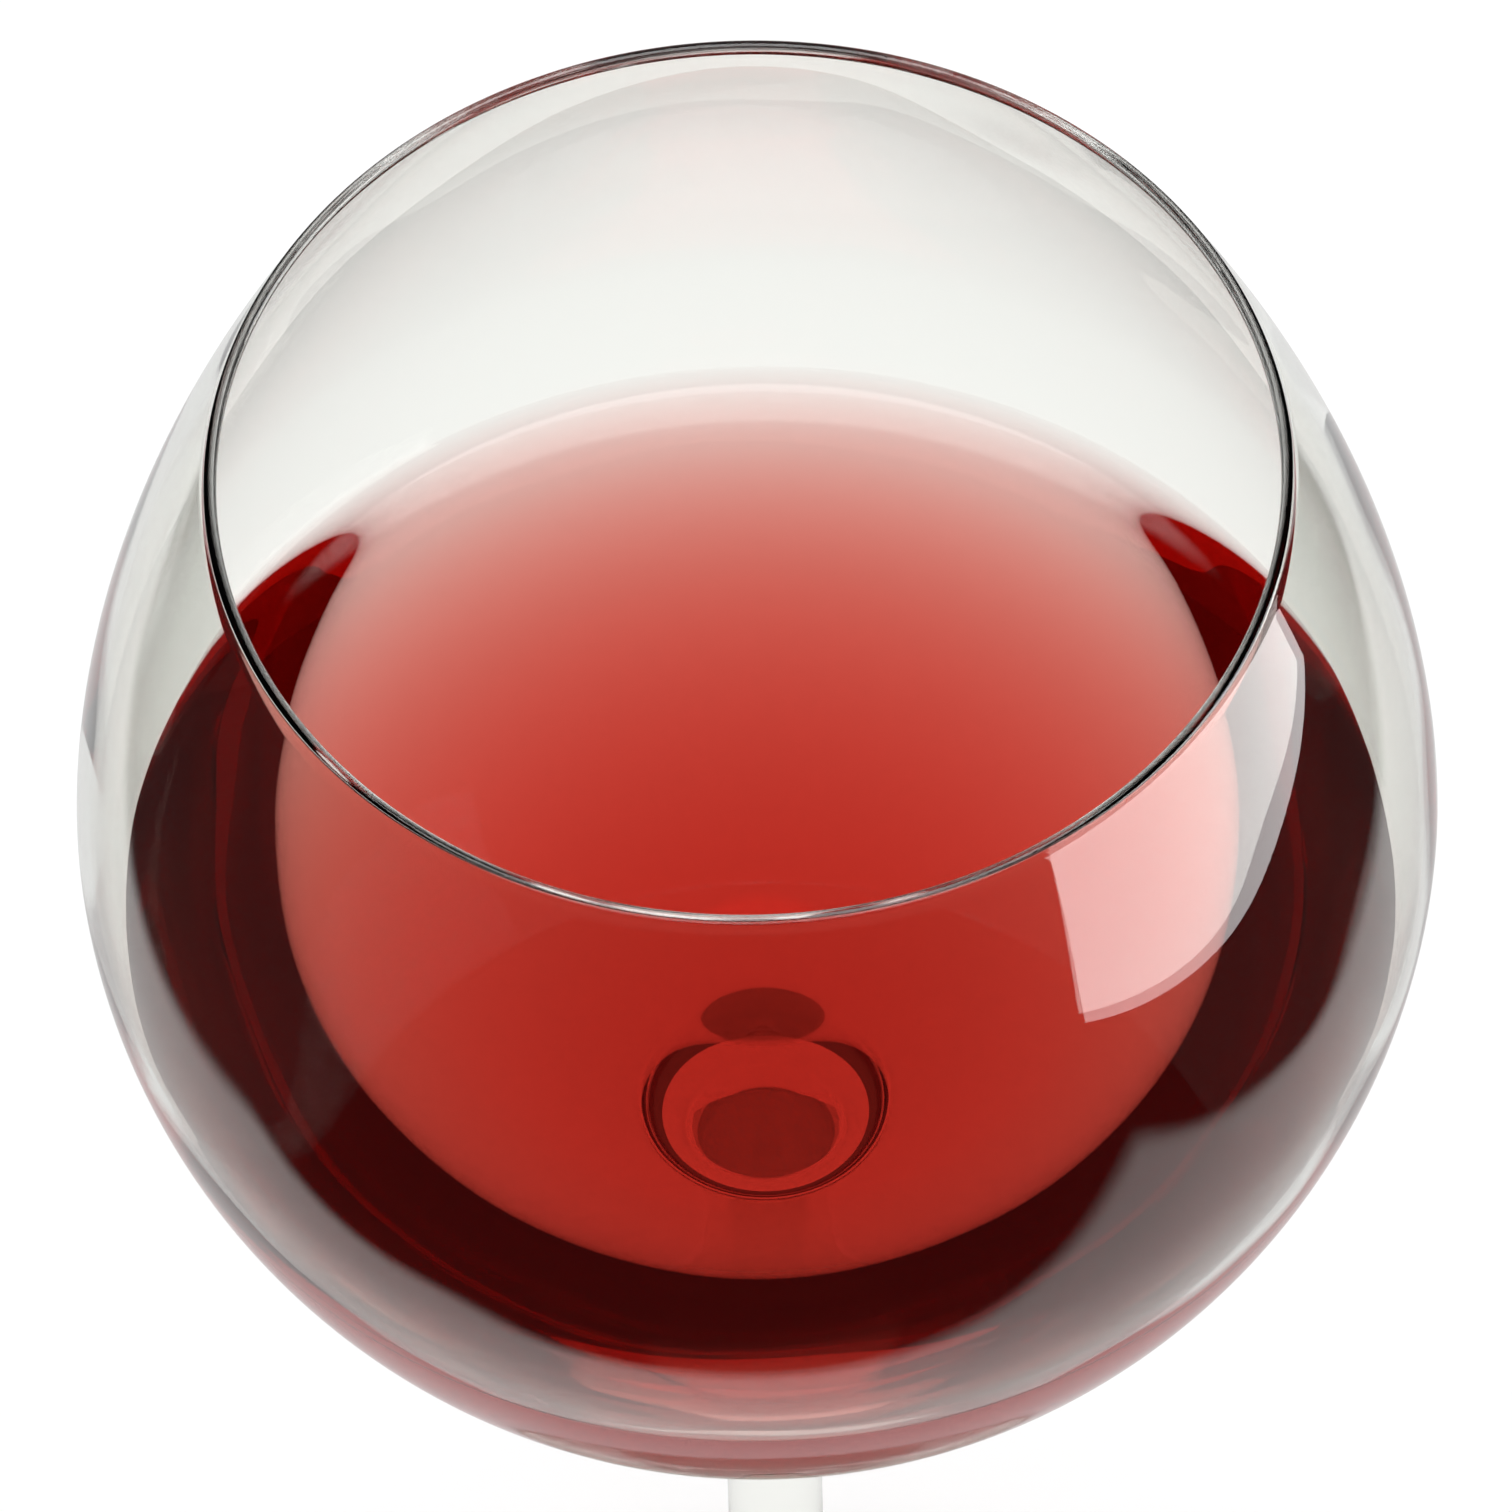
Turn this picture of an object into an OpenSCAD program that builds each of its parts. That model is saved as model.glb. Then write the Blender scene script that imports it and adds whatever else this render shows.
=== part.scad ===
// Balloon wine glass, part filled with red wine.
// One solid of clear glass (bowl, stem and foot) and one solid of wine.
// Units are millimetres. +Z is up and the foot rests on z = 0.

/* [Bowl] */
// Outer diameter of the bowl at its widest level
bowl_d = 105.4; // [80:0.2:130]
// Outer diameter of the mouth at the rim
rim_d = 81.4; // [50:0.2:100]
// Height of the rim above the widest level
rim_rise = 43; // [25:0.5:70]
// Depth of the bowl's outer bottom below the widest level
bowl_depth = 56; // [40:0.5:80]
// Fullness of the lower half: 2 is an ellipse, less is more pointed
belly_power = 1.9; // [1.6:0.05:2.4]
// How late the upper half draws in toward the mouth
taper_power = 1.7; // [1.4:0.1:3]
// Wall thickness of the bowl
wall_t = 1; // [0.8:0.1:2.5]
// Thickness of the glass at the very bottom of the bowl
floor_t = 3.2; // [2:0.1:8]

/* [Stem] */
// Length of the stem from the foot's top to the bowl's outer bottom
stem_l = 111; // [40:1:140]
// Diameter of the stem's straight part
stem_d = 8; // [6:0.2:14]
// Diameter where the stem's flare meets the bowl
flare_d = 22.4; // [16:0.2:28]
// Length of the flare below the bowl's outer bottom
flare_l = 11; // [5:0.5:16]

/* [Foot] */
// Diameter of the round foot
foot_d = 77; // [62:1:96]
// Thickness of the foot at its edge
foot_t = 1.6; // [1.2:0.1:3]
// Height of the foot at its centre, where the stem rises from it
foot_h = 9.5; // [6:0.5:16]
// How closely the foot's top hugs the table before it sweeps up
foot_power = 3; // [2:0.25:5]

/* [Wine] */
// Depth of the wine above the bowl's inner bottom
wine_h = 39; // [15:0.5:55]
// Height that the wine climbs the wall at its edge
meniscus_h = 2.8; // [1:0.1:3]
// Gap between the wine and the inside of the glass
wine_gap = 0.02; // [0.01:0.01:0.1]

/* [Hidden] */

round_fn = 120;      // facets round the axis in a meshed preview
lower_n = 22;        // steps down the lower half of the bowl
upper_n = 12;        // steps up the upper half of the bowl
foot_n = 12;         // steps from the foot's edge to the stem
flare_n = 8;         // steps along the flare
rim_n = 4;           // steps over the rounded rim
meniscus_n = 7;      // steps along the curve of the wine's edge

stem_base_z = foot_h;
bowl_bottom_z = stem_base_z + stem_l;
widest_z = bowl_bottom_z + bowl_depth;
rim_z = widest_z + rim_rise;
bowl_r = bowl_d / 2;
rim_r = rim_d / 2;
stem_r = stem_d / 2;
flare_r = flare_d / 2;
foot_r = foot_d / 2;
inner_bottom_z = bowl_bottom_z + floor_t;
wine_z = inner_bottom_z + wine_h;
wine_top_z = wine_z + meniscus_h;
capillary = 2.2;     // capillary length of wine, which sets the meniscus curve

// Half width of an egg-shaped lower half: full width w, depth d, at u below.
function lower_r(w, d, u) =
    w * pow(max(0, 1 - pow(min(1, u / d), belly_power)), 1 / belly_power);

// Half width of the upper half, from w at u = 0 to m at u = h.
function upper_r(w, m, h, u) = w - (w - m) * pow(u / h, taper_power);

// Outer profile of the bowl, from where the flare meets it up to the mouth.
flare_u = bowl_depth * pow(1 - pow(flare_r / bowl_r, belly_power), 1 / belly_power);
flare_z = widest_z - flare_u;
function outer_lower() = [
    for (i = [0:lower_n])
        let (a0 = asin(flare_u / bowl_depth), a = a0 * (1 - i / lower_n))
        let (u = bowl_depth * sin(a))
        [lower_r(bowl_r, bowl_depth, u), widest_z - u]
];
function outer_upper() = [
    for (i = [1:upper_n])
        let (u = rim_rise * i / upper_n)
        [upper_r(bowl_r, rim_r, rim_rise, u), widest_z + u]
];

// Inner profile, from the axis up to the mouth, one wall inside the outer.
in_r = bowl_r - wall_t;
in_rim_r = rim_r - wall_t;
in_depth = bowl_depth - floor_t;
function inner_lower() = [
    for (i = [lower_n:-1:0])
        let (u = in_depth * sin(90 * i / lower_n))
        [i == lower_n ? 0 : lower_r(in_r, in_depth, u), widest_z - u]
];
function inner_upper() = [
    for (i = [1:upper_n])
        let (u = rim_rise * i / upper_n)
        [upper_r(in_r, in_rim_r, rim_rise, u), widest_z + u]
];
inner_wall = concat(inner_lower(), inner_upper());
inner_n = len(inner_wall);

// Rounded rim, from the outer wall over the top to the inner wall.
rim_c = rim_r - wall_t / 2;
function rim_arc() = [
    for (i = [1:rim_n - 1])
        let (a = 180 * i / rim_n)
        [rim_c + wall_t / 2 * cos(a), rim_z + wall_t / 2 * sin(a)]
];

// Foot: flat underside, rounded edge and a top that rises as a shallow cone
// and then sweeps up into the stem.
foot_cone = 0.16;    // share of the rise that the shallow cone takes
foot_ring_r = foot_r - foot_t / 2;
function foot_edge() = [
    for (i = [0:4])
        let (a = -90 + 45 * i)
        [foot_ring_r + foot_t / 2 * cos(a), foot_t / 2 + foot_t / 2 * sin(a)]
];
function foot_top() = [
    for (i = [1:foot_n])
        let (s = i / foot_n)
        let (r = foot_ring_r + (stem_r - foot_ring_r) * sin(90 * s))
        let (near = 1 - (r - stem_r) / (foot_ring_r - stem_r))
        let (rise = foot_cone * near + (1 - foot_cone) * pow(near, 2 * foot_power))
        [r, foot_t + (foot_h - foot_t) * rise]
];

// Flare: the stem widens to meet the bowl.
flare_out = 1.3;     // how late the flare widens
flare_up = 1.45;     // how steeply the flare meets the bowl
flare_start_z = bowl_bottom_z - flare_l;
function flare() = [
    for (i = [0:flare_n - 1])
        let (s = i / flare_n)
        [stem_r + (flare_r - stem_r) * pow(s, flare_out),
         flare_start_z + (flare_z - flare_start_z) * (1 - pow(1 - s, flare_up))]
];

function glass_outline() = concat(
    [[0, 0]], foot_edge(), foot_top(), flare(),
    outer_lower(), outer_upper(), rim_arc(),
    [for (i = [inner_n - 1:-1:0]) inner_wall[i]]);

// Radius of the glass's inner wall at height z, on its own straight steps.
wall_table = [for (p = inner_wall) [p[1], p[0]]];
function wall_r(z) = lookup(z, wall_table);

edge_clear = 0.3;    // wall points nearer than this below the wine's edge are left out
edge_reach = 4;      // capillary lengths from the wall to the flat of the wine
edge_bias = 1.8;     // crowds the curve's steps toward the flat

// Points of the inner wall between the axis and a height.
function wine_wall(top) = [
    for (p = inner_wall)
        if (p[0] > 0 && p[1] < top - edge_clear) p
];

// The free edge of the wine: a capillary curve from the wall to the flat.
edge_slope = 2 * asin(meniscus_h / 2 / capillary);
function cap_x(p) = -capillary * (ln(tan(p / 4)) + 2 * cos(p / 2));
function cap_z(p) = 2 * capillary * sin(p / 2);
function meniscus(rw) = [
    for (i = [0:meniscus_n])
        let (p = edge_slope * pow(1 - i / (meniscus_n + 1), edge_bias))
        [rw - (cap_x(p) - cap_x(edge_slope)), wine_z + cap_z(p)]
];

function clear_of_wall(pts) = [
    for (p = pts)
        [p[0] - wine_gap, p[1] + wine_gap]
];

function wine_outline() =
    let (rw = wall_r(wine_top_z))
    let (flat_r = rw - edge_reach * capillary)
    concat(
        [[0, inner_bottom_z + wine_gap]],
        clear_of_wall(wine_wall(wine_top_z)),
        clear_of_wall(meniscus(rw)),
        [[flat_r, wine_z], [0, wine_z]]);

module glass() {
    color([0.86, 0.93, 0.92, 0.4])
        rotate_extrude($fn = round_fn)
            polygon(glass_outline());
}

module wine() {
    color([0.45, 0.03, 0.07])
        rotate_extrude($fn = round_fn)
            polygon(wine_outline());
}

glass();
wine();
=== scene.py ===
"""Glass of red wine: detailed glass and wine, studio, camera.

The glass and the wine are finer lathe meshes of the CAD shapes, with the foot
on z = 0 and +Z up. Sizes of the glass and wine are in millimetres; the studio
and the camera are in metres unless a comment says otherwise.
"""
import math

import bmesh
import bpy
from mathutils import Matrix, Vector


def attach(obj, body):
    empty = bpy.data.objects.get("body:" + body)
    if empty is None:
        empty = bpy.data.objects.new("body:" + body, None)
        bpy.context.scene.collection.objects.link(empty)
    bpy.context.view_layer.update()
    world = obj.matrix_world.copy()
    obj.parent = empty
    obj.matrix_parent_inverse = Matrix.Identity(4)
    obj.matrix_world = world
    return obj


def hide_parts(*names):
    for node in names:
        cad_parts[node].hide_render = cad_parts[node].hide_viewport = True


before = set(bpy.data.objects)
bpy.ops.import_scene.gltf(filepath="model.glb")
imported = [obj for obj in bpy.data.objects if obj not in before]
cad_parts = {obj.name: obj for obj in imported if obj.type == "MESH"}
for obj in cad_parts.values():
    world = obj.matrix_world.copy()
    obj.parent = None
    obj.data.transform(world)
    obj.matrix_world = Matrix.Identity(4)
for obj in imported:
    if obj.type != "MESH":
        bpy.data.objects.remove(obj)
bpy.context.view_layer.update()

MM = 0.001

# ---- sizes of the glass and wine, in millimetres ----
# They are the CAD model's own, apart from the last five.
BOWL_R = 52.7          # outer radius at the widest level
RIM_R = 40.7           # outer radius at the rim
RIM_RISE = 43.0        # rim above the widest level
BOWL_DEPTH = 56.0      # outer bottom below the widest level
BELLY_POWER = 1.9      # fullness of the lower half
TAPER_POWER = 1.7      # how late the upper half draws in
WALL = 1.0             # bowl wall
FLOOR = 3.2            # glass thickness under the wine
STEM_L = 111.0         # stem from the foot's top to the bowl
STEM_R = 4.0           # radius of the stem's straight part
FLARE_R = 11.2         # radius where the flare meets the bowl
FLARE_OUT = 1.3        # how late the flare widens
FLARE_UP = 1.45        # how steeply it meets the bowl
FLARE_L = 11.0         # length of the flare below the bowl's bottom
FOOT_R = 38.5          # outer radius of the foot
FOOT_T = 1.6           # foot thickness at its edge
FOOT_H = 9.5           # height at which the foot becomes the stem
FOOT_POWER = 3.0       # how closely the foot's top hugs the table
FOOT_CONE = 0.16       # share of the foot's rise in its shallow cone
WINE_H = 39.0          # wine above the bowl's inner bottom
CAPILLARY = 2.2        # capillary length of wine, which shapes its curved edge
MENISCUS_H = 2.1       # height of that edge, a little under the CAD model's
WINE_IN_WALL = 0.1     # how far the wine reaches into the wall
WINE_BLEND = 8.0       # height over which that reach fades to the wine's edge
EDGE_CLEAR = 0.15      # wall points nearer than this below the wine's edge are left out
FOOT_GAP = 0.3         # floor below the foot

BOTTOM_Z = FOOT_H + STEM_L
WIDEST_Z = BOTTOM_Z + BOWL_DEPTH
RIM_Z = WIDEST_Z + RIM_RISE
WINE_Z = BOTTOM_Z + FLOOR + WINE_H

# ---- steps of the meshes ----
TURNS = 256            # segments round the axis
LOWER_N = 96           # steps along the lower half of the bowl
UPPER_N = 48           # steps along the upper half of the bowl
RIM_N = 16             # steps over the rim
FOOT_N = 48            # steps along the foot's top
FLARE_N = 40           # steps along the flare
PLAIN_N = 12           # steps round the foot's edge, up the stem and over the flat wine
MENISCUS_N = 40        # steps down the wine's curved edge
MENISCUS_BIAS = 1.6    # crowds those steps toward the flat
MENISCUS_END = 0.3     # slope at which the curved edge ends, in degrees
SHARP = 50.0           # degrees of turn in a profile that make a crisp edge


# ---- profiles: lists of (radius, height) in millimetres ----
def lower_r(width, depth, under):
    """Radius of the bowl's lower half, at a height under the widest level."""
    t = min(1.0, under / depth)
    return width * max(0.0, 1 - t ** BELLY_POWER) ** (1 / BELLY_POWER)


def upper_r(width, mouth, up):
    """Radius of the bowl's upper half, at a height above the widest level."""
    return width - (width - mouth) * (up / RIM_RISE) ** TAPER_POWER


def foot_profile():
    """Underside, rounded edge and top of the foot, axis outward."""
    ring = FOOT_R - FOOT_T / 2
    pts = [(0.0, 0.0), (ring * 0.5, 0.0)]
    for i in range(PLAIN_N + 1):
        a = math.radians(-90 + 180 * i / PLAIN_N)
        pts.append((ring + FOOT_T / 2 * math.cos(a), FOOT_T / 2 * (1 + math.sin(a))))
    for i in range(1, FOOT_N + 1):
        r = ring + (STEM_R - ring) * math.sin(math.pi / 2 * i / FOOT_N)
        near = 1 - (r - STEM_R) / (ring - STEM_R)
        rise = FOOT_CONE * near + (1 - FOOT_CONE) * near ** (2 * FOOT_POWER)
        pts.append((r, FOOT_T + (FOOT_H - FOOT_T) * rise))
    return pts


def flare_profile():
    """Stem and its flare, up to the bowl."""
    top = flare_top()
    start = BOTTOM_Z - FLARE_L
    pts = [(STEM_R, FOOT_H + (start - FOOT_H) * k / PLAIN_N) for k in range(1, PLAIN_N)]
    for i in range(FLARE_N):
        s = i / FLARE_N
        r = STEM_R + (FLARE_R - STEM_R) * s ** FLARE_OUT
        pts.append((r, start + (top - start) * (1 - (1 - s) ** FLARE_UP)))
    return pts


def flare_top():
    """Height at which the flare meets the bowl."""
    cut = 1 - (FLARE_R / BOWL_R) ** BELLY_POWER
    return WIDEST_Z - BOWL_DEPTH * cut ** (1 / BELLY_POWER)


def bowl_outer():
    """Outside of the bowl from the flare up to the rim."""
    a0 = math.asin((WIDEST_Z - flare_top()) / BOWL_DEPTH)
    pts = []
    for i in range(LOWER_N + 1):
        under = BOWL_DEPTH * math.sin(a0 * (1 - i / LOWER_N))
        pts.append((lower_r(BOWL_R, BOWL_DEPTH, under), WIDEST_Z - under))
    for i in range(1, UPPER_N + 1):
        up = RIM_RISE * i / UPPER_N
        pts.append((upper_r(BOWL_R, RIM_R, up), WIDEST_Z + up))
    return pts


def rim_arc():
    """Rounded rim, from the outside of the wall over to its inside."""
    pts = []
    for i in range(1, RIM_N):
        a = math.pi * i / RIM_N
        pts.append((RIM_R - WALL / 2 + WALL / 2 * math.cos(a), RIM_Z + WALL / 2 * math.sin(a)))
    return pts


def bowl_inner():
    """Inside of the bowl from the axis up to the rim."""
    depth = BOWL_DEPTH - FLOOR
    pts = []
    for i in range(LOWER_N + 1):
        under = depth * math.sin(math.pi / 2 * (1 - i / LOWER_N))
        pts.append((lower_r(BOWL_R - WALL, depth, under) if i else 0.0, WIDEST_Z - under))
    for i in range(1, UPPER_N + 1):
        up = RIM_RISE * i / UPPER_N
        pts.append((upper_r(BOWL_R - WALL, RIM_R - WALL, up), WIDEST_Z + up))
    return pts


def pushed_out(pts, by):
    """Each point moved by by(z) square to the profile, away from the axis."""
    out = []
    for i, (r, z) in enumerate(pts):
        a, b = pts[max(0, i - 1)], pts[min(len(pts) - 1, i + 1)]
        tr, tz = b[0] - a[0], b[1] - a[1]
        size = math.hypot(tr, tz)
        out.append((max(0.0, r + tz / size * by(z)) if i else 0.0, z - tr / size * by(z)))
    return out


def meniscus(wall_r):
    """Capillary curve from the wall down to the flat of the wine."""
    slope0 = 2 * math.asin(MENISCUS_H / 2 / CAPILLARY)

    def along(p):
        return -CAPILLARY * (math.log(math.tan(p / 4)) + 2 * math.cos(p / 2))

    pts = []
    for k in range(MENISCUS_N):
        p = max(slope0 * (1 - k / MENISCUS_N) ** MENISCUS_BIAS, math.radians(MENISCUS_END))
        pts.append((wall_r - (along(p) - along(slope0)),
                    WINE_Z + 2 * CAPILLARY * math.sin(p / 2)))
    return pts


def wine_profile():
    """Wine, from the axis up the inside of the bowl and back over its top."""
    top = WINE_Z + MENISCUS_H
    inner = bowl_inner()
    contact_r = lower_r(BOWL_R - WALL, BOWL_DEPTH - FLOOR, WIDEST_Z - top)

    def depth(z):
        share = min(1.0, max(0.0, (top - z) / WINE_BLEND))
        return WINE_IN_WALL * share * share * (3 - 2 * share)

    wall = [p for p in pushed_out(inner, depth) if p[1] < top - EDGE_CLEAR]
    edge = meniscus(contact_r)
    flat = [(edge[-1][0] * k / PLAIN_N, WINE_Z) for k in range(PLAIN_N - 1, 0, -1)]
    return wall + edge + flat + [(0.0, WINE_Z)]


# ---- mesh ----
AXIS_R = 1e-6          # a smaller radius counts as on the axis


def profile_turn(pts):
    """Degrees by which a profile turns at the middle one of three points."""
    (r0, z0), (r1, z1), (r2, z2) = pts
    turn = math.atan2(z2 - z1, r2 - r1) - math.atan2(z1 - z0, r1 - r0)
    return abs(math.degrees(math.remainder(turn, 2 * math.pi)))


def lathe(name, pts, turns=TURNS):
    """Closed surface of revolution about Z from a profile in millimetres."""
    bm = bmesh.new()
    rings = []
    for r, z in pts:
        if r < AXIS_R:
            rings.append([bm.verts.new((0, 0, z * MM))] * turns)
            continue
        ring = []
        for k in range(turns):
            a = 2 * math.pi * k / turns
            ring.append(bm.verts.new((r * MM * math.cos(a), r * MM * math.sin(a), z * MM)))
        rings.append(ring)
    for low, high in zip(rings, rings[1:]):
        for k in range(turns):
            n = (k + 1) % turns
            corners = []
            for v in (low[k], low[n], high[n], high[k]):
                if v not in corners:
                    corners.append(v)
            if len(corners) > 2:
                bm.faces.new(corners)
    for f in bm.faces:
        f.smooth = True
    for i in range(1, len(pts) - 1):
        if profile_turn(pts[i - 1:i + 2]) > SHARP:
            for k in range(turns):
                bm.edges.get((rings[i][k], rings[i][(k + 1) % turns])).smooth = False
    if bm.calc_volume(signed=True) < 0:
        bmesh.ops.reverse_faces(bm, faces=bm.faces)
    mesh = bpy.data.meshes.new(name)
    bm.to_mesh(mesh)
    bm.free()
    obj = bpy.data.objects.new(name, mesh)
    bpy.context.scene.collection.objects.link(obj)
    return obj


# ---- nodes ----
def add(tree, kind, **values):
    """A new node with its properties set."""
    node = tree.nodes.new(kind)
    for key, value in values.items():
        setattr(node, key, value)
    return node


def calc(tree, op, *ins):
    """A Math node with numbers or sockets as its inputs."""
    node = add(tree, "ShaderNodeMath", operation=op)
    for i, x in enumerate(ins):
        if isinstance(x, (int, float)):
            node.inputs[i].default_value = x
        else:
            tree.links.new(x, node.inputs[i])
    return node.outputs[0]


def step(tree, value, low, high):
    """0 at low and 1 at high, with a smooth rise between."""
    node = add(tree, "ShaderNodeMapRange", interpolation_type="SMOOTHSTEP")
    tree.links.new(value, node.inputs[0])
    node.inputs[1].default_value = low
    node.inputs[2].default_value = high
    return node.outputs[0]


def window(tree, value, low, high, soft):
    """1 between low and high, 0 outside, with soft edges."""
    middle, half = (low + high) / 2, (high - low) / 2
    away = calc(tree, "ABSOLUTE", calc(tree, "SUBTRACT", value, middle))
    return step(tree, away, half + soft, half - soft)


# ---- materials ----
WHITE = (1, 1, 1, 1)
GLASS_TINT = (0.94, 0.955, 0.915, 1)
GLASS_IOR = 1.5
GLASS_WAVES = (55.0, 0.0002)       # waves per metre, and their height in metres
WINE_IOR = 1.345
WINE_WAVES = (30.0, 0.00003)       # waves per metre, and their height in metres
WINE_TAKES = (15.0, 91.0, 101.0)   # absorption of red, green and blue, per metre
HEADROOM = 1.02                    # keeps the wine's colour above 0 in every channel


def new_material(name):
    mat = bpy.data.materials.new(name)
    mat.use_nodes = True
    mat.node_tree.nodes.clear()
    return mat, mat.node_tree


def waves(tree, bsdf, sizes):
    """Faint unevenness of a surface, as (waves per metre, height in metres)."""
    scale, height = sizes
    coord = add(tree, "ShaderNodeTexCoord")
    noise = add(tree, "ShaderNodeTexNoise")
    noise.inputs["Scale"].default_value = scale
    noise.inputs["Detail"].default_value = 0.0
    tree.links.new(coord.outputs["Object"], noise.inputs["Vector"])
    bump = add(tree, "ShaderNodeBump")
    bump.inputs["Strength"].default_value = 1.0
    bump.inputs["Distance"].default_value = height
    tree.links.new(noise.outputs[0], bump.inputs["Height"])
    tree.links.new(bump.outputs[0], bsdf.inputs["Normal"])


def clear_material(name, tint, ior, sizes):
    """Smooth see-through material; returns its tree and output as well."""
    mat, tree = new_material(name)
    out = add(tree, "ShaderNodeOutputMaterial")
    bsdf = add(tree, "ShaderNodeBsdfPrincipled")
    bsdf.inputs["Base Color"].default_value = tint
    bsdf.inputs["Roughness"].default_value = 0.0
    bsdf.inputs["IOR"].default_value = ior
    bsdf.inputs["Transmission Weight"].default_value = 1.0
    waves(tree, bsdf, sizes)
    tree.links.new(bsdf.outputs[0], out.inputs["Surface"])
    return mat, tree, out


def glass_material():
    """Clear polished glass with the faint waviness of blown glass."""
    mat, _, _ = clear_material("clear_glass", GLASS_TINT, GLASS_IOR, GLASS_WAVES)
    return mat


def wine_material():
    """Clear red wine: no colour at its surface, all of it from depth."""
    mat, tree, out = clear_material("red_wine", WHITE, WINE_IOR, WINE_WAVES)
    absorb = add(tree, "ShaderNodeVolumeAbsorption")
    density = HEADROOM * max(WINE_TAKES)
    colour = [1 - takes / density for takes in WINE_TAKES]
    absorb.inputs["Color"].default_value = (*colour, 1)
    absorb.inputs["Density"].default_value = density
    tree.links.new(absorb.outputs[0], out.inputs["Volume"])
    return mat


# ---- studio ----
# The glass mirrors a dark room with a lit table, a softbox and a ceiling lamp.
# On the floor, the lit table and the dark room round it are painted light and shade in its colour.
# All else in the picture is a plain pale studio. What a light path has met so
# far says which of the two it sees.
TABLE_X = (-0.24, 0.25)           # left and right edges of the painted lit table on the floor
TABLE_FRONT = (-0.16, -0.12)      # its front edge: y at x = 0, and slope
TABLE_CORNER = (-0.27, -0.915)    # its cut left corner: y at x = 0, and slope
TABLE_GLINT = 0.7                 # its painted brightness, as the bowl's wall mirrors it
SIDE_SOFT = 0.012                 # half width of its soft left and right edges
FRONT_SOFT = 0.01                 # half width of its other soft edges
ROOM = 0.015                      # brightness of the unlit room: the world's glow, and the floor's painted shade round the table
THROUGH = 0.25                    # brightness of the room as mirrored inside the wine
PALE = 1.12                       # brightness of the pale surroundings
FLOOR_PALE = 0.97                 # share of light that the floor returns
FLOOR_HALF = 3.0                  # half width of the floor
LAMP_EL = (64.0, 68.0)            # ceiling lamp: degrees up where its glow starts and is full
LAMP_GLOW = 5.0
BOX_X = 0.43                      # softbox: a standing panel to the right
BOX_Y = (-0.386, 0.13)            # its front and back edges
BOX_TOP = 0.42                    # its height
BOX_GLOW = 4.5
ONCE = 0.5                        # a depth above this means at least one bounce
GUIDED = 24.5                     # reflections after which light counts as guided
WALL_PASSES = 3.5                 # more crossings than this lead into the wine


def mirrored(tree):
    """1 for what is seen by a few reflections, on or in the glass; else 0.

    Light that the thin wall guides by many reflections counts as unmirrored.
    """
    path = add(tree, "ShaderNodeLightPath")
    bounced = calc(tree, "GREATER_THAN", path.outputs["Glossy Depth"], ONCE)
    few = calc(tree, "LESS_THAN", path.outputs["Glossy Depth"], GUIDED)
    direct = calc(tree, "LESS_THAN", path.outputs["Diffuse Depth"], ONCE)
    return calc(tree, "MULTIPLY", calc(tree, "MULTIPLY", bounced, few), direct)


def mirrored_by_wall(tree):
    """1 for what the bowl's wall mirrors, 0 for what is seen through the wine."""
    path = add(tree, "ShaderNodeLightPath")
    outside = calc(tree, "LESS_THAN", path.outputs["Transmission Depth"], WALL_PASSES)
    return calc(tree, "MULTIPLY", mirrored(tree), outside)


def mix(tree, factor, a, b):
    """a where factor is 0 and b where it is 1, for numbers or sockets."""
    part_b = calc(tree, "MULTIPLY", factor, b)
    part_a = calc(tree, "MULTIPLY", calc(tree, "SUBTRACT", 1.0, factor), a)
    return calc(tree, "ADD", part_a, part_b)


def make_world():
    """Pale surroundings; the glass mirrors a dark room."""
    world = bpy.data.worlds.new("studio")
    bpy.context.scene.world = world
    world.use_nodes = True
    world.cycles.sampling_method = "NONE"
    tree = world.node_tree
    tree.nodes.clear()
    back = add(tree, "ShaderNodeBackground")
    back.inputs["Color"].default_value = WHITE
    coord = add(tree, "ShaderNodeTexCoord")
    split = add(tree, "ShaderNodeSeparateXYZ")
    tree.links.new(coord.outputs["Generated"], split.inputs[0])
    low, high = (math.sin(math.radians(a)) for a in LAMP_EL)
    lamp = calc(tree, "MULTIPLY", step(tree, split.outputs["Z"], low, high), LAMP_GLOW)
    dark = calc(tree, "ADD", lamp, ROOM)
    room = mix(tree, mirrored_by_wall(tree), THROUGH, dark)
    tree.links.new(mix(tree, mirrored(tree), PALE, room), back.inputs["Strength"])
    out = add(tree, "ShaderNodeOutputWorld")
    tree.links.new(back.outputs[0], out.inputs["Surface"])


def make_softbox():
    """Upright glowing panel that only the mirrored light meets."""
    mesh = bpy.data.meshes.new("softbox")
    front, back = BOX_Y
    corners = [(BOX_X, front, 0), (BOX_X, back, 0), (BOX_X, back, BOX_TOP), (BOX_X, front, BOX_TOP)]
    mesh.from_pydata(corners, [], [(0, 1, 2, 3)])
    panel = bpy.data.objects.new("softbox", mesh)
    bpy.context.scene.collection.objects.link(panel)
    mat, tree = new_material("softbox")
    out = add(tree, "ShaderNodeOutputMaterial")
    glow = add(tree, "ShaderNodeEmission")
    glow.inputs["Strength"].default_value = BOX_GLOW
    clear = add(tree, "ShaderNodeBsdfTransparent")
    choose = add(tree, "ShaderNodeMixShader")
    tree.links.new(mirrored_by_wall(tree), choose.inputs[0])
    tree.links.new(clear.outputs[0], choose.inputs[1])
    tree.links.new(glow.outputs[0], choose.inputs[2])
    tree.links.new(choose.outputs[0], out.inputs["Surface"])
    mat.cycles.emission_sampling = "NONE"
    mesh.materials.append(mat)
    panel.visible_camera = False
    panel.visible_shadow = False


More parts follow.
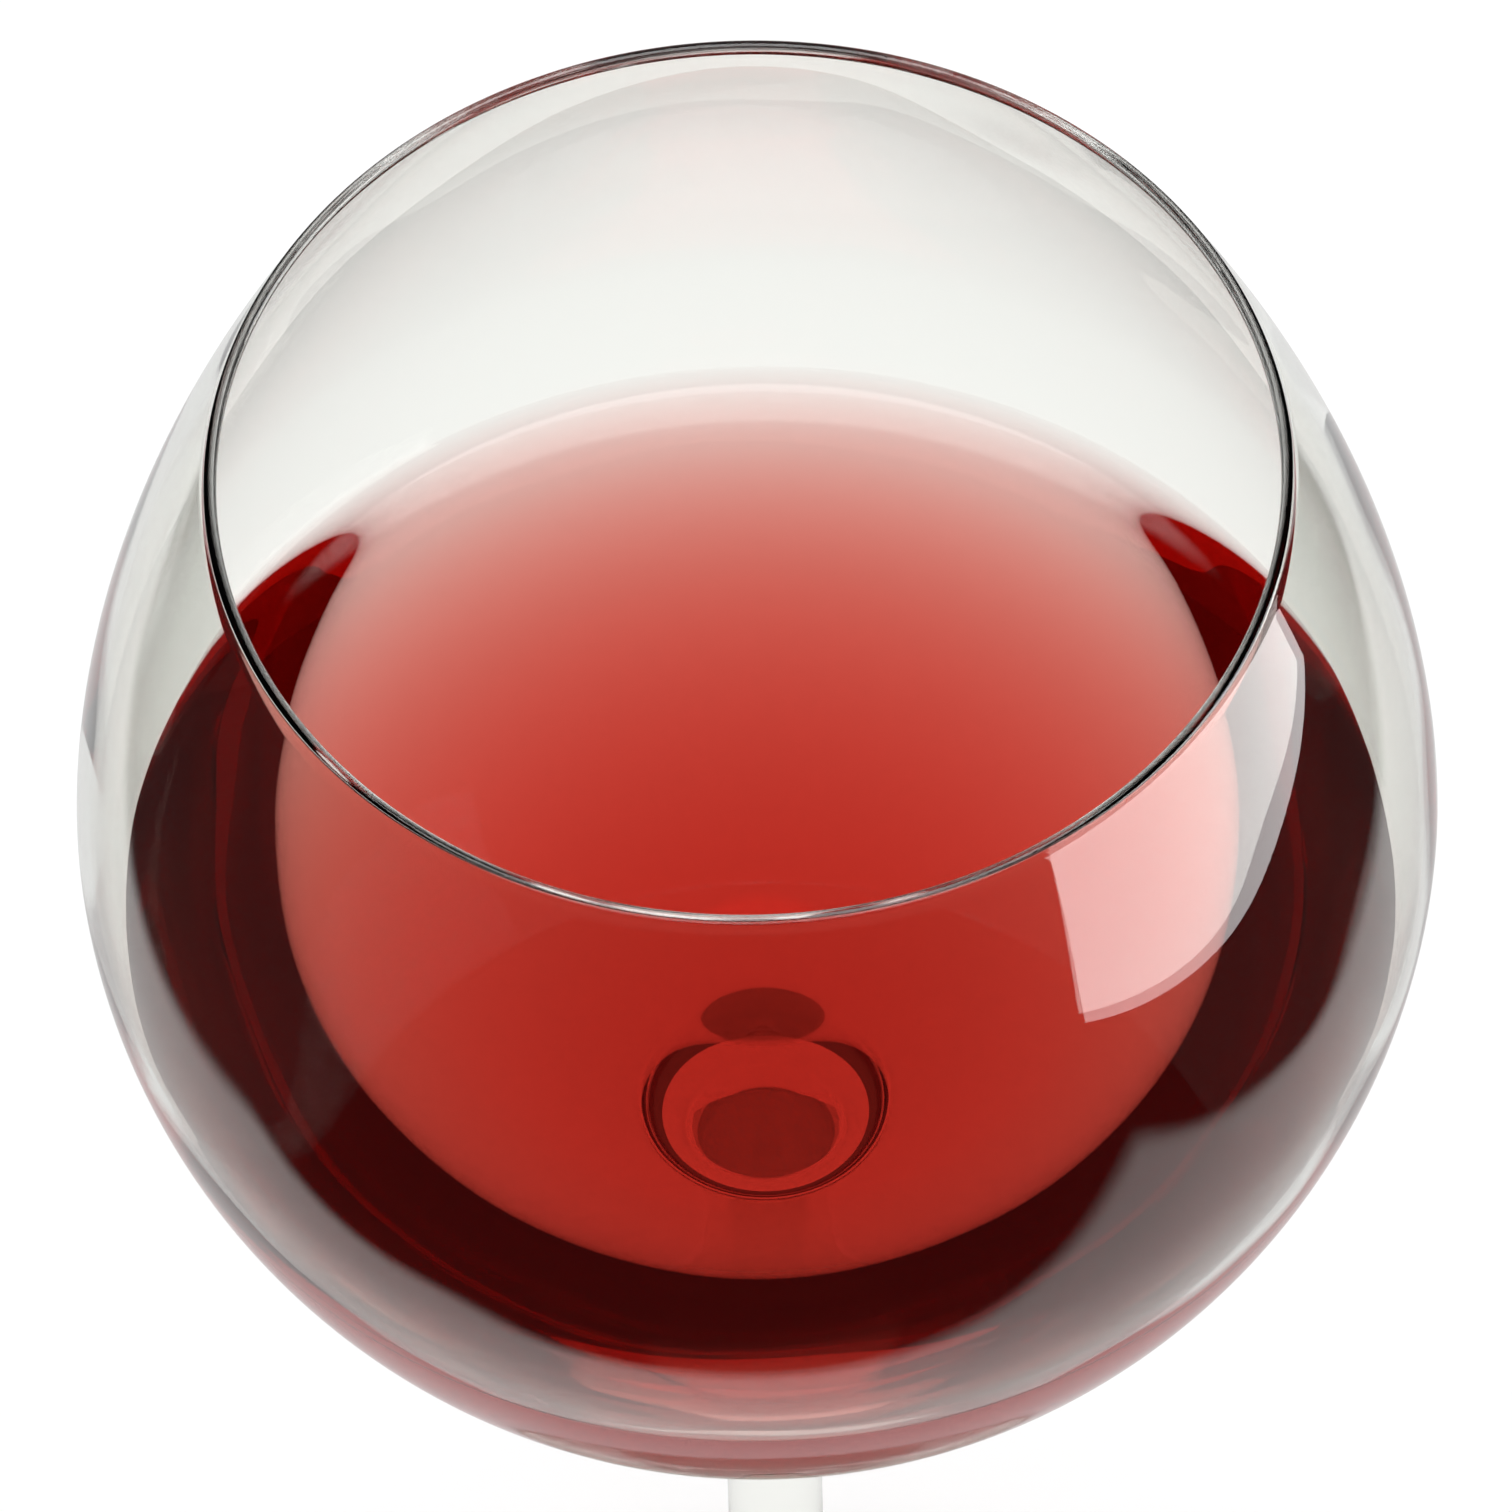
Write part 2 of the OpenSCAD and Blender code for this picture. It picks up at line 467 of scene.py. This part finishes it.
def make_floor():
    """Plain pale floor, a hair below the foot; as the bowl's wall mirrors it, a lit table and the
    dark room round it are painted on.
    """
    mesh = bpy.data.meshes.new("floor")
    corners = [(x * FLOOR_HALF, y * FLOOR_HALF, 0) for x, y in ((-1, -1), (1, -1), (1, 1), (-1, 1))]
    mesh.from_pydata(corners, [], [(0, 1, 2, 3)])
    floor = bpy.data.objects.new("floor", mesh)
    floor.location.z = -FOOT_GAP * MM
    bpy.context.scene.collection.objects.link(floor)
    mat, tree = new_material("floor")
    out = add(tree, "ShaderNodeOutputMaterial")
    geo = add(tree, "ShaderNodeNewGeometry")
    split = add(tree, "ShaderNodeSeparateXYZ")
    tree.links.new(geo.outputs["Position"], split.inputs[0])
    x, y, _ = split.outputs
    # Painted light and shade: as the bowl's wall mirrors the floor, its colour is a lit table patch
    # in a near-black painted room.
    painted_table_patch = window(tree, x, *TABLE_X, SIDE_SOFT)
    for start, slope in (TABLE_FRONT, TABLE_CORNER):
        beyond = calc(tree, "SUBTRACT", y, calc(tree, "MULTIPLY", x, slope))
        inside = step(tree, beyond, start - FRONT_SOFT, start + FRONT_SOFT)
        painted_table_patch = calc(tree, "MULTIPLY", painted_table_patch, inside)
    dark = calc(tree, "MULTIPLY", mirrored_by_wall(tree), calc(tree, "SUBTRACT", 1.0, painted_table_patch))
    painted_table_glint = calc(tree, "SUBTRACT", mirrored_by_wall(tree), dark)
    shade = mix(tree, dark, mix(tree, painted_table_glint, FLOOR_PALE, TABLE_GLINT), ROOM)
    diffuse = add(tree, "ShaderNodeBsdfDiffuse")
    grey = add(tree, "ShaderNodeCombineColor")
    for i in range(3):
        tree.links.new(shade, grey.inputs[i])
    tree.links.new(grey.outputs[0], diffuse.inputs["Color"])
    tree.links.new(diffuse.outputs[0], out.inputs["Surface"])
    mesh.materials.append(mat)


# ---- camera ----
ELEVATION = 55.5       # degrees above the horizontal
ROLL = 1.5             # tilt of the picture, in degrees
DISTANCE = 0.93        # from the camera to the bowl
SPAN = 0.11721         # width of the view at the bowl
RAISE = 3.25           # view centre above the widest level, in the picture, in mm
SIDE = 0.08            # view centre to the side, in mm
SENSOR = 36            # width of the sensor, in mm
NEAREST = 0.01         # what the camera sees lies between these distances
FARTHEST = 20


def make_camera():
    """Camera in front of the glass, looking down on it."""
    e, roll = math.radians(ELEVATION), math.radians(ROLL)
    look = Vector((0, math.cos(e), -math.sin(e)))
    up = Vector((0, math.sin(e), math.cos(e)))
    side = Vector((1, 0, 0))
    x_axis = side * math.cos(roll) - up * math.sin(roll)
    y_axis = side * math.sin(roll) + up * math.cos(roll)
    target = Vector((0, 0, WIDEST_Z)) * MM + y_axis * RAISE * MM - x_axis * SIDE * MM
    data = bpy.data.cameras.new("camera")
    data.sensor_width = SENSOR
    data.lens = SENSOR * DISTANCE / SPAN
    data.clip_start = NEAREST
    data.clip_end = FARTHEST
    cam = bpy.data.objects.new("camera", data)
    bpy.context.scene.collection.objects.link(cam)
    turn = Matrix((x_axis, y_axis, -look)).transposed().to_4x4()
    turn.translation = target - look * DISTANCE
    cam.matrix_world = turn
    bpy.context.scene.camera = cam


# ---- light paths ----
BOUNCES = 60           # light guided round the rim needs this many
FLOOR_BOUNCES = 3


def set_light_paths():
    """Enough bounces for light inside glass and wine; plain tones."""
    scene = bpy.context.scene
    scene.cycles.max_bounces = BOUNCES
    scene.cycles.transmission_bounces = BOUNCES
    scene.cycles.glossy_bounces = BOUNCES
    scene.cycles.diffuse_bounces = FLOOR_BOUNCES
    scene.cycles.use_denoising = True
    scene.view_settings.view_transform = "Standard"
    scene.view_settings.look = "None"


# ---- object ----
def build():
    """The glass and the wine, each in place of its CAD solid."""
    glass = lathe("wine_glass", foot_profile() + flare_profile() + bowl_outer()
                  + rim_arc() + bowl_inner()[::-1])
    glass.data.materials.append(glass_material())
    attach(glass, "root")
    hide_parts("glass")
    wine = lathe("wine_fill", wine_profile())
    wine.data.materials.append(wine_material())
    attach(wine, "root")
    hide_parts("wine")


make_camera()
build()
make_floor()
make_softbox()
make_world()
set_light_paths()
